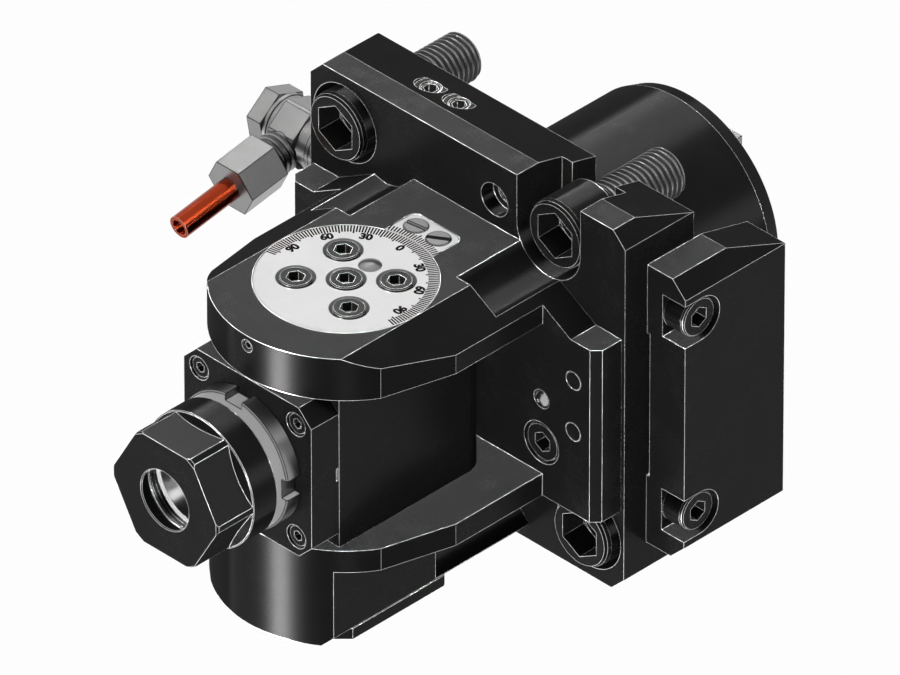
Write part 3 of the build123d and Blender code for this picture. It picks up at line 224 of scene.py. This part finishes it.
def soft_lamp(name, azimuth, elevation, width, height, brightness, away=lamp_away):
    """An area lamp that faces the object. Azimuth 0 is in front of the spindle, 90 at its right."""
    a, e = math.radians(azimuth), math.radians(elevation)
    way = Vector((math.sin(a) * math.cos(e), -math.cos(a) * math.cos(e), math.sin(e)))
    data = bpy.data.lights.new(name, "AREA")
    data.shape = "RECTANGLE"
    data.size, data.size_y = width, height
    data.energy = brightness * math.pi * width * height
    lamp = bpy.data.objects.new(name, data)
    lamp.location = lamp_target + away * way
    lamp.rotation_mode = "QUATERNION"
    lamp.rotation_quaternion = (-way).to_track_quat("-Z", "Y")
    lamp.visible_camera = False
    bpy.context.scene.collection.objects.link(lamp)
    return lamp


def mirrored_lamp(name, pieces, *measures):
    """A lamp that only shows in reflections on some pieces, and casts no shadow."""
    lamp = soft_lamp(name, *measures)
    lamp.visible_diffuse = False
    lamp.data.use_shadow = False
    lamp.data.cycles.use_multiple_importance_sampling = False
    lamp.light_linking.receiver_collection = pieces


# %% Lamps, each with azimuth, elevation, width, height and brightness
overhead = soft_lamp("lamp_overhead", 225, 80, 1.3, 1.3, 2.5, away=1.2)
overhead.visible_glossy = False
mirrored_lamp("black_behind", black_pieces, 227, 31, 1.3, 1.8, 4.6)
mirrored_lamp("black_over_spigot", black_pieces, 202, 51, 1.6, 1.4, 7.0)
mirrored_lamp("black_low_left", black_pieces, -45, -35.3, 1.6, 1.6, 0.25)
mirrored_lamp("black_low_right", black_pieces, 135, -35.3, 1.6, 1.6, 0.35)
mirrored_lamp("black_right", black_pieces, 126, 6, 0.9, 1.4, 6.5)
mirrored_lamp("black_front", black_pieces, 45, -38, 0.8, 2.2, 2.5)
mirrored_lamp("black_strip", black_pieces, -12, -35.3, 0.8, 2.6, 78.0)
mirrored_lamp("bright_behind", bright_pieces, 226, 33, 1.3, 1.3, 1.4)
mirrored_lamp("bright_behind_left", bright_pieces, -120, 49, 1.2, 1.2, 1.5)
mirrored_lamp("bright_left", bright_pieces, -53, 44, 1.2, 1.2, 1.1)
mirrored_lamp("bright_right", bright_pieces, 117, 14, 1.3, 1.3, 0.8)
mirrored_lamp("bright_low_left", bright_pieces, -40, -31, 1.2, 1.2, 2.2)
mirrored_lamp("bright_bore", bright_pieces, 119, 41, 1.6, 1.6, 2.0)

# %% [markdown]
# ## Shared effects
# Three effects turn up on more than one metal, so each is a node group, built once.
# `broken_edge` finds edges: a Bevel node rounds the normal near an edge, and where the rounded
# normal and the true one part, there is an edge. Modelling a real chamfer on each edge of the
# CAD solids would cost far more and look the same at this size.
# `cloudy_oxide` gives the faint patches of a black oxide bath. `fine_grain` is the bump that a
# blasted or ground surface leaves.

# %% Helper for node groups


def new_group(name, inputs, outputs):
    """A shader node group with named float inputs and outputs of the given kinds."""
    group = bpy.data.node_groups.new(name, "ShaderNodeTree")
    for label, value in inputs.items():
        socket = group.interface.new_socket(label, in_out="INPUT", socket_type="NodeSocketFloat")
        socket.default_value = value
    for label, kind in outputs.items():
        group.interface.new_socket(label, in_out="OUTPUT", socket_type=kind)
    return group, group.nodes.new("NodeGroupInput"), group.nodes.new("NodeGroupOutput")


# %% Node group: broken edges
edge_begins = 0.9994           # cosine between the rounded normal and the true one
edge_full = 0.9960
wear_scale = 420.0

broken_edge, inside, outside = new_group(
    "broken_edge", {"Width": 0.16 * mm, "Scatter": 0.3}, {"Edge": "NodeSocketFloat"})
rounded = add_node(broken_edge, "ShaderNodeBevel", samples=8)
true_normal = add_node(broken_edge, "ShaderNodeNewGeometry")
agree = add_node(broken_edge, "ShaderNodeVectorMath", operation="DOT_PRODUCT")
part = add_node(broken_edge, "ShaderNodeMapRange", interpolation_type="SMOOTHSTEP")
part.inputs["From Min"].default_value = edge_begins
part.inputs["From Max"].default_value = edge_full
place = add_node(broken_edge, "ShaderNodeTexCoord")
patches = add_node(broken_edge, "ShaderNodeTexNoise")
patches.inputs["Scale"].default_value = wear_scale
patches.inputs["Detail"].default_value = 3.0
thin = add_node(broken_edge, "ShaderNodeMath", operation="MULTIPLY")
keep = add_node(broken_edge, "ShaderNodeMath", operation="SUBTRACT")
keep.inputs[0].default_value = 1.0
worn = add_node(broken_edge, "ShaderNodeMath", operation="MULTIPLY", use_clamp=True)
link(broken_edge, inside.outputs["Width"], rounded.inputs["Radius"])
link(broken_edge, rounded.outputs["Normal"], agree.inputs[0])
link(broken_edge, true_normal.outputs["Normal"], agree.inputs[1])
link(broken_edge, agree.outputs["Value"], part.inputs["Value"])
link(broken_edge, place.outputs["Object"], patches.inputs["Vector"])
link(broken_edge, patches.outputs["Fac"], thin.inputs[0])
link(broken_edge, inside.outputs["Scatter"], thin.inputs[1])
link(broken_edge, thin.outputs[0], keep.inputs[1])
link(broken_edge, part.outputs["Result"], worn.inputs[0])
link(broken_edge, keep.outputs[0], worn.inputs[1])
link(broken_edge, worn.outputs[0], outside.inputs["Edge"])
print("made", broken_edge.name)

# %% Node group: patches of the oxide bath
speck_share = 0.35

cloudy_oxide, inside, outside = new_group(
    "cloudy_oxide", {"Patch Scale": 60.0, "Speck Scale": 2600.0}, {"Clouds": "NodeSocketFloat"})
place = add_node(cloudy_oxide, "ShaderNodeTexCoord")
clouds = add_node(cloudy_oxide, "ShaderNodeTexNoise")
clouds.inputs["Detail"].default_value = 4.0
specks = add_node(cloudy_oxide, "ShaderNodeTexNoise")
specks.inputs["Detail"].default_value = 1.0
blend = add_node(cloudy_oxide, "ShaderNodeMath", operation="MULTIPLY_ADD")
blend.inputs[1].default_value = speck_share
share = add_node(cloudy_oxide, "ShaderNodeMath", operation="MULTIPLY")
share.inputs[1].default_value = 1 - speck_share
link(cloudy_oxide, place.outputs["Object"], clouds.inputs["Vector"])
link(cloudy_oxide, place.outputs["Object"], specks.inputs["Vector"])
link(cloudy_oxide, inside.outputs["Patch Scale"], clouds.inputs["Scale"])
link(cloudy_oxide, inside.outputs["Speck Scale"], specks.inputs["Scale"])
link(cloudy_oxide, clouds.outputs["Fac"], share.inputs[0])
link(cloudy_oxide, specks.outputs["Fac"], blend.inputs[0])
link(cloudy_oxide, share.outputs[0], blend.inputs[2])
link(cloudy_oxide, blend.outputs[0], outside.inputs["Clouds"])
print("made", cloudy_oxide.name)

# %% Node group: fine grain
fine_grain, inside, outside = new_group(
    "fine_grain", {"Grain Scale": 3000.0, "Depth": 0.01 * mm, "Stretch": 1.0},
    {"Normal": "NodeSocketVector", "Grain": "NodeSocketFloat"})
place = add_node(fine_grain, "ShaderNodeTexCoord")
widths = add_node(fine_grain, "ShaderNodeCombineXYZ")
stretched = add_node(fine_grain, "ShaderNodeVectorMath", operation="MULTIPLY")
grain = add_node(fine_grain, "ShaderNodeTexNoise")
grain.inputs["Detail"].default_value = 2.0
dents = add_node(fine_grain, "ShaderNodeBump")
dents.inputs["Strength"].default_value = 1.0
link(fine_grain, inside.outputs["Stretch"], widths.inputs["X"])
link(fine_grain, inside.outputs["Stretch"], widths.inputs["Z"])
widths.inputs["Y"].default_value = 1.0
link(fine_grain, place.outputs["Object"], stretched.inputs[0])
link(fine_grain, widths.outputs[0], stretched.inputs[1])
link(fine_grain, stretched.outputs[0], grain.inputs["Vector"])
link(fine_grain, inside.outputs["Grain Scale"], grain.inputs["Scale"])
link(fine_grain, grain.outputs["Fac"], dents.inputs["Height"])
link(fine_grain, inside.outputs["Depth"], dents.inputs["Distance"])
link(fine_grain, dents.outputs["Normal"], outside.inputs["Normal"])
link(fine_grain, grain.outputs["Fac"], outside.inputs["Grain"])
print("made", fine_grain.name)

# %% [markdown]
# ## Metals
# Every metal here is the same recipe with its own numbers: a dark and a light tone that the
# clouds mix, a third tone for the broken edges, a range of roughness, and the grain's bump.
# On black oxide the edges are pale, because the bath is thin there and the steel shows. On the
# ground, plated and bearing steels they are darker than the faces, as oil and dust stay in them,
# and on gears, bronze and copper they are rubbed brighter.

# %% Helpers for tones and shared effects


def tone(value):
    """A grey level or a colour as red, green, blue and alpha."""
    if isinstance(value, (int, float)):
        value = (value, value, value)
    return (*value, 1.0)


def use_group(tree, group, **values):
    """Place a shared effect in a material with its own values."""
    node = add_node(tree, "ShaderNodeGroup", node_tree=group)
    for label, value in values.items():
        node.inputs[label.replace("_", " ")].default_value = value
    return node


# %% Colour of a metal
cloud_low, cloud_high = 0.35, 0.65


def paint(tree, shader, clouds, edges, dark, light, edge):
    """Mix two tones by the clouds, and lay a third one along the edges."""
    spread = add_node(tree, "ShaderNodeMapRange")
    spread.inputs["From Min"].default_value = cloud_low
    spread.inputs["From Max"].default_value = cloud_high
    link(tree, clouds, spread.inputs["Value"])
    faces = add_node(tree, "ShaderNodeMix", data_type="RGBA")
    faces.inputs["A"].default_value = tone(dark)
    faces.inputs["B"].default_value = tone(light)
    link(tree, spread.outputs["Result"], faces.inputs["Factor"])
    colour = add_node(tree, "ShaderNodeMix", data_type="RGBA")
    colour.inputs["B"].default_value = tone(edge)
    link(tree, edges, colour.inputs["Factor"])
    link(tree, faces.outputs["Result"], colour.inputs["A"])
    link(tree, colour.outputs["Result"], shader.inputs["Base Color"])


# %% Gloss of a metal
turn_begins, turn_ends = 0.51, 0.60      # how far a surface has turned away, from 0 to 1


def gloss(tree, shader, clouds, rough, flat_rough):
    """Vary the roughness with the clouds, up to flat_rough where the surface turns away."""
    sheen = add_node(tree, "ShaderNodeMapRange")
    sheen.inputs["To Min"].default_value = rough[0]
    sheen.inputs["To Max"].default_value = rough[1]
    link(tree, clouds, sheen.inputs["Value"])
    if flat_rough is None:
        link(tree, sheen.outputs["Result"], shader.inputs["Roughness"])
        return
    turned = add_node(tree, "ShaderNodeLayerWeight")
    along = add_node(tree, "ShaderNodeMapRange", interpolation_type="SMOOTHSTEP")
    along.inputs["From Min"].default_value = turn_begins
    along.inputs["From Max"].default_value = turn_ends
    duller = add_node(tree, "ShaderNodeMix", data_type="FLOAT")
    duller.inputs["B"].default_value = flat_rough
    link(tree, turned.outputs["Facing"], along.inputs["Value"])
    link(tree, along.outputs["Result"], duller.inputs["Factor"])
    link(tree, sheen.outputs["Result"], duller.inputs["A"])
    link(tree, duller.outputs["Result"], shader.inputs["Roughness"])


def bare_edges(tree, shader, edges, metallic, edge_metallic):
    """Let an edge be metal where the face is not."""
    bare = add_node(tree, "ShaderNodeMapRange")
    bare.inputs["To Min"].default_value = metallic
    bare.inputs["To Max"].default_value = edge_metallic
    link(tree, edges, bare.inputs["Value"])
    link(tree, bare.outputs["Result"], shader.inputs["Metallic"])


# %% Metal recipe
patch_scale = 60.0
grain_scale = 3000.0


def metal(name, dark, light, edge, rough, metallic, specular=0.5, width=0.16, scatter=0.3,
          edge_metallic=None, grain=0.004, stretch=1.0, flat_rough=None):
    """A finished metal. Tones are grey levels or colours, width and grain are in millimetres."""
    material, tree = new_material(name)
    shader = add_node(tree, "ShaderNodeBsdfPrincipled")
    output = add_node(tree, "ShaderNodeOutputMaterial")
    link(tree, shader.outputs[0], output.inputs["Surface"])
    clouds = use_group(tree, cloudy_oxide, Patch_Scale=patch_scale).outputs["Clouds"]
    edges = use_group(tree, broken_edge, Width=width * mm, Scatter=scatter).outputs["Edge"]
    surface = use_group(tree, fine_grain, Grain_Scale=grain_scale, Depth=grain * mm, Stretch=stretch)
    paint(tree, shader, clouds, edges, dark, light, edge)
    gloss(tree, shader, clouds, rough, flat_rough)
    if edge_metallic is None:
        shader.inputs["Metallic"].default_value = metallic
    else:
        bare_edges(tree, shader, edges, metallic, edge_metallic)
    shader.inputs["Specular IOR Level"].default_value = specular
    link(tree, surface.outputs["Normal"], shader.inputs["Normal"])
    return material


# %% Helpers that dress the pieces


def light_up(piece, material):
    """Let the lamps for its kind of finish reach a piece."""
    pieces = black_pieces if material.name.startswith("black") else bright_pieces
    pieces.objects.link(piece)


def dress(material, *names):
    """Give CAD nodes a finish."""
    for name in names:
        for slot in nodes[name].material_slots:
            slot.material = material
        light_up(nodes[name], material)
    print(material.name, "on", ", ".join(names))


# %% [markdown]
# ## Black oxide castings and screws
# The flange, fork, head and nut come out of a black oxide bath: nearly black, satin, a little
# cloudy. The screws come out of the same bath and shine a touch more. Looked along, the oxide
# stays dark, because its pits hide behind each other. A plain shader would mirror the bright room
# there, so a Layer Weight node raises the roughness where the surface turns away.

# %% Black parts
black_oxide = metal("black_oxide", 0.0075, 0.0110, 0.85, (0.24, 0.30), 0.0, specular=0.05,
                    width=0.145, scatter=0.12, edge_metallic=1.0, flat_rough=0.9)
dress(black_oxide, "mounting_flange", "fork_housing", "head_housing", "head_cover", "gear_cover",
      "side_bracket", "shaft_cap", "collet_nut")
black_screw = metal("black_screw", 0.0075, 0.012, 0.85, (0.24, 0.30), 0.0, specular=0.06,
                    width=0.135, scatter=0.12, edge_metallic=1.0, flat_rough=0.9)
dress(black_screw, "turret_bolts", "flange_plugs", "bracket_screws", "fork_screws", "wing_plugs",
      "gear_cover_screws", "dial_lock_screw", "head_cover_screws", "dial_screws")

# %% [markdown]
# ## Bright steel, gears, bronze and copper
# Ground steel is bright, with fine lines that run round the spindle. Zinc plating is duller and
# even, the gears are darker from oil, and the pipe is drawn copper with its own warm reflection.

# %% Bright parts
ground_steel = metal("ground_steel", 0.38, 0.46, 0.05, (0.20, 0.28), 1.0, width=0.14,
                     stretch=0.05)
dress(ground_steel, "spindle", "transfer_shaft", "cross_shaft", "idler_pin", "fork_dowels",
      "sealing_ball")
plated_steel = metal("plated_steel", 0.23, 0.28, 0.01, (0.26, 0.32), 1.0, width=0.42,
                     scatter=0.1)
dress(plated_steel, "spanner_ring", "vernier_screws", "port_spacer", "seal_washers", "banjo_body",
      "banjo_bolt", "union_nut", "dial_pin", "drive_shaft")
bearing_steel = metal("bearing_steel", 0.60, 0.68, 0.35, (0.08, 0.16), 1.0, width=0.08)
dress(bearing_steel, *[n for n in nodes if "_bearing_" in n])
gear_steel = metal("gear_steel", 0.34, 0.46, 0.62, (0.24, 0.38), 1.0, width=0.12)
dress(gear_steel, *[n for n in nodes if n.endswith("_gear")])
bronze = metal("bronze", (0.48, 0.28, 0.10), (0.60, 0.38, 0.16), (0.75, 0.55, 0.30), (0.3, 0.5),
               1.0)
dress(bronze, "upper_trunnion_bush", "lower_trunnion_bush", "idler_bush")
copper = metal("copper", (0.30, 0.034, 0.010), (0.36, 0.046, 0.014), (0.90, 0.50, 0.36),
               (0.14, 0.20), 1.0, width=0.12, grain=0.001)
dress(copper, "coolant_pipe")

# %% [markdown]
# ## The white dial
# The dial and the vernier are white enamel. It is almost even, so only fine specks and a soft
# gloss keep it from looking like paper.

# %% White enamel
white_dial = metal("white_dial", 0.70, 0.75, 0.45, (0.42, 0.50), 0.0, specular=0.1,
                   width=0.09, grain=0.001)
dress(white_dial, "dial", "vernier_plate")

# %% [markdown]
# ## Graduations
# Black paint fills the engraved lines. Each line is a thin strip that lies on the enamel, made
# by one loop in a single mesh, because a picture or a bump would go soft close up. The scale
# reads from 0 at the back to 90 on both sides and a little further, a line for each two degrees.

# %% Black ink
ink_dark, ink_light = 0.004, 0.009
ink_patch_scale = 900.0

ink, tree = new_material("black_ink")
ink_shader = add_node(tree, "ShaderNodeBsdfPrincipled")
ink_output = add_node(tree, "ShaderNodeOutputMaterial")
ink_shader.inputs["Roughness"].default_value = 0.6
ink_shader.inputs["Specular IOR Level"].default_value = 0.02
ink_mix = add_node(tree, "ShaderNodeMix", data_type="RGBA")
ink_mix.inputs["A"].default_value = tone(ink_dark)
ink_mix.inputs["B"].default_value = tone(ink_light)
ink_clouds = use_group(tree, cloudy_oxide, Patch_Scale=ink_patch_scale)
link(tree, ink_clouds.outputs["Clouds"], ink_mix.inputs["Factor"])
link(tree, ink_mix.outputs["Result"], ink_shader.inputs["Base Color"])
link(tree, ink_shader.outputs[0], ink_output.inputs["Surface"])
print("made", ink.name)

# %% Helpers for lines and pieces
ink_height = 0.03 * mm


def add_line(shape, angle, inner, outer, width, level):
    """A flat strip along a radius. The angle is in degrees from the back, to the left."""
    turn = Matrix.Rotation(math.radians(angle), 4, "Z")
    corners = []
    for z in (level, level + ink_height):
        for x, y in ((-width / 2, inner), (width / 2, inner),
                     (width / 2, outer), (-width / 2, outer)):
            corners.append(shape.verts.new(axes_cross + turn @ Vector((x, y, z))))
    bottom, top = corners[:4], corners[4:]
    shape.faces.new(bottom[::-1])
    shape.faces.new(top)
    for i in range(4):
        j = (i + 1) % 4
        shape.faces.new((bottom[i], bottom[j], top[j], top[i]))


def finish_piece(name, shape, material, body):
    """Turn a bmesh into a piece that rides on a body."""
    mesh = bpy.data.meshes.new(name)
    shape.to_mesh(mesh)
    shape.free()
    mesh.materials.append(material)
    piece = bpy.data.objects.new(name, mesh)
    bpy.context.scene.collection.objects.link(piece)
    light_up(piece, material)
    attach(piece, body)
    print(name, len(mesh.polygons), "faces on", body)
    return piece


# %% Lines of the dial
dial_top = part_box("dial")[1].z
dial_radius = (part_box("dial")[1].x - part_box("dial")[0].x) / 2
line_width = 0.50 * mm
line_length = 3.1 * mm
ten_length = 3.8 * mm
rim_gap = 0.15 * mm
line_step = 2                  # degrees
dial_reach = 104               # degrees to each side

shape = bmesh.new()
line_end = dial_radius - rim_gap
for degree in range(-dial_reach, dial_reach + 1, line_step):
    length = ten_length if degree % 10 == 0 else line_length
    add_line(shape, degree, line_end - length, line_end, line_width, dial_top)
finish_piece("dial_lines", shape, ink, "head")

# %% [markdown]
# ## Vernier
# The fixed plate carries the vernier: ten divisions to each side over nineteen degrees. Each is a
# tenth of a degree short of a dial division, so the line that meets a dial line reads the tenths.

# %% Lines of the vernier
vernier_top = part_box("vernier_plate")[1].z
vernier_step = 1.9             # degrees
vernier_divisions = 10
vernier_start = dial_radius + 0.45 * mm
vernier_ten, vernier_five, vernier_one = 3.4 * mm, 3.0 * mm, 2.5 * mm

shape = bmesh.new()
for i in range(-vernier_divisions, vernier_divisions + 1):
    length = vernier_ten if i % 10 == 0 else vernier_five if i % 5 == 0 else vernier_one
    line_end = vernier_start + length
    add_line(shape, i * vernier_step, vernier_start, line_end, line_width, vernier_top)
finish_piece("vernier_lines", shape, ink, "root")

# %% [markdown]
# ## Numbers
# The numbers are text objects, turned to stand along the rim and made into meshes, so that they
# keep their shape in any program.

# %% Numbers of the dial
number_radius = 22.0 * mm
number_size = 3.9 * mm
number_weight = 0.22 * mm      # how far each stroke is thickened


def dial_number(text, angle):
    """One number of the scale, its top towards the rim."""
    curve = bpy.data.curves.new("number", "FONT")
    curve.body = text
    curve.size = number_size
    curve.align_x, curve.align_y = "CENTER", "CENTER"
    curve.offset = number_weight
    curve.extrude = ink_height / 2
    source = bpy.data.objects.new("number", curve)
    turn = Matrix.Rotation(math.radians(angle), 4, "Z")
    middle = Vector((0, number_radius, dial_top + ink_height / 2))
    place = Matrix.Translation(axes_cross + turn @ middle)
    mesh = bpy.data.meshes.new_from_object(source)
    mesh.transform(place @ turn)
    bpy.data.objects.remove(source)
    return mesh


shape = bmesh.new()
for value in (0, 30, 60, 90):
    for side in ((1, -1) if value else (1,)):
        shape.from_mesh(dial_number(str(value), side * value))
finish_piece("dial_numbers", shape, ink, "head")

# %% [markdown]
# ## Threads
# A thread is one helical ridge. Its surface is a grid that goes round and along the bolt: the
# radius at each point depends on how far the helix has climbed there. The CAD bolts have plain
# ends, so each is cut off inside the flange, where the thread begins, and a threaded end takes
# the place of that end. The threads are painted a paler grey than the heads. This is painted
# light that keeps their shaded roots from looking black, so they have a material of their own.

# %% Threaded rod
crest_flat = 0.10              # share of the pitch that is flat at crest and root


def thread_radius(turns, crest, depth):
    """Radius of a thread with flat crests and roots, at a place counted in turns of the helix."""
    phase = turns % 1.0
    rise = min(max((abs(phase - 0.5) * 2 - crest_flat) / (1 - 2 * crest_flat), 0.0), 1.0)
    return crest - depth * rise


def threaded_rod(shape, place, crest, depth, pitch, length, chamfer, sides=48, steps=8):
    """A threaded bar along the place's Z, closed at both ends."""
    rings = []
    rows = int(length / pitch * steps)
    for row in range(rows + 1):
        height = length * row / rows
        ring = []
        for side in range(sides):
            angle = 2 * math.pi * side / sides
            radius = thread_radius(height / pitch - side / sides, crest, depth)
            radius = min(radius, crest - chamfer + (length - height))
            ring.append(shape.verts.new(place @ Vector((
                radius * math.cos(angle), radius * math.sin(angle), height))))
        rings.append(ring)
    for low, high in zip(rings, rings[1:]):
        for i in range(sides):
            j = (i + 1) % sides
            shape.faces.new((low[i], low[j], high[j], high[i]))
    shape.faces.new(rings[0][::-1])
    shape.faces.new(rings[-1])


# %% Turret bolts, cut where the thread begins
bolt_radius = 8 * mm
bolt_pitch = 2.0 * mm
bolt_thread_depth = 0.95 * mm
thread_start = -6 * mm
bolt_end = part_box("turret_bolts")[1].y
bolt_end_chamfer = 1.2 * mm
crest_radius = bolt_radius - 0.02 * mm
outer_x, inner_x, bolt_z = 50.5 * mm, 33.5 * mm, 47.5 * mm
bolt_places = [(-outer_x, bolt_z), (outer_x, -bolt_z), (inner_x, bolt_z), (-inner_x, -bolt_z)]

shape = bmesh.new()
shape.from_mesh(nodes["turret_bolts"].data)
geometry = shape.verts[:] + shape.edges[:] + shape.faces[:]
cut = bmesh.ops.bisect_plane(shape, geom=geometry, plane_co=(0, thread_start, 0),
                             plane_no=(0, 1, 0), clear_outer=True)
rims = [piece for piece in cut["geom_cut"] if isinstance(piece, bmesh.types.BMEdge)]
bmesh.ops.edgeloop_fill(shape, edges=rims)
bolt_heads = finish_piece("bolt_heads", shape, black_screw, "root")
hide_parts("turret_bolts")

# %% Threaded ends
# Painted light: a paler, glossier black than the heads, so the shaded thread roots read grey
black_thread_painted_light = metal("black_thread_painted_light", 0.030, 0.045, 0.55, (0.34, 0.42), 0.0, specular=0.25,
                     width=0.14, edge_metallic=1.0)
shape = bmesh.new()
for x, z in bolt_places:
    lying = Matrix.Rotation(-math.pi / 2, 4, "X")
    place = Matrix.Translation((x, thread_start, z)) @ lying
    threaded_rod(shape, place, crest_radius, bolt_thread_depth, bolt_pitch,
                 bolt_end - thread_start, bolt_end_chamfer)
finish_piece("bolt_threads", shape, black_thread_painted_light, "root")
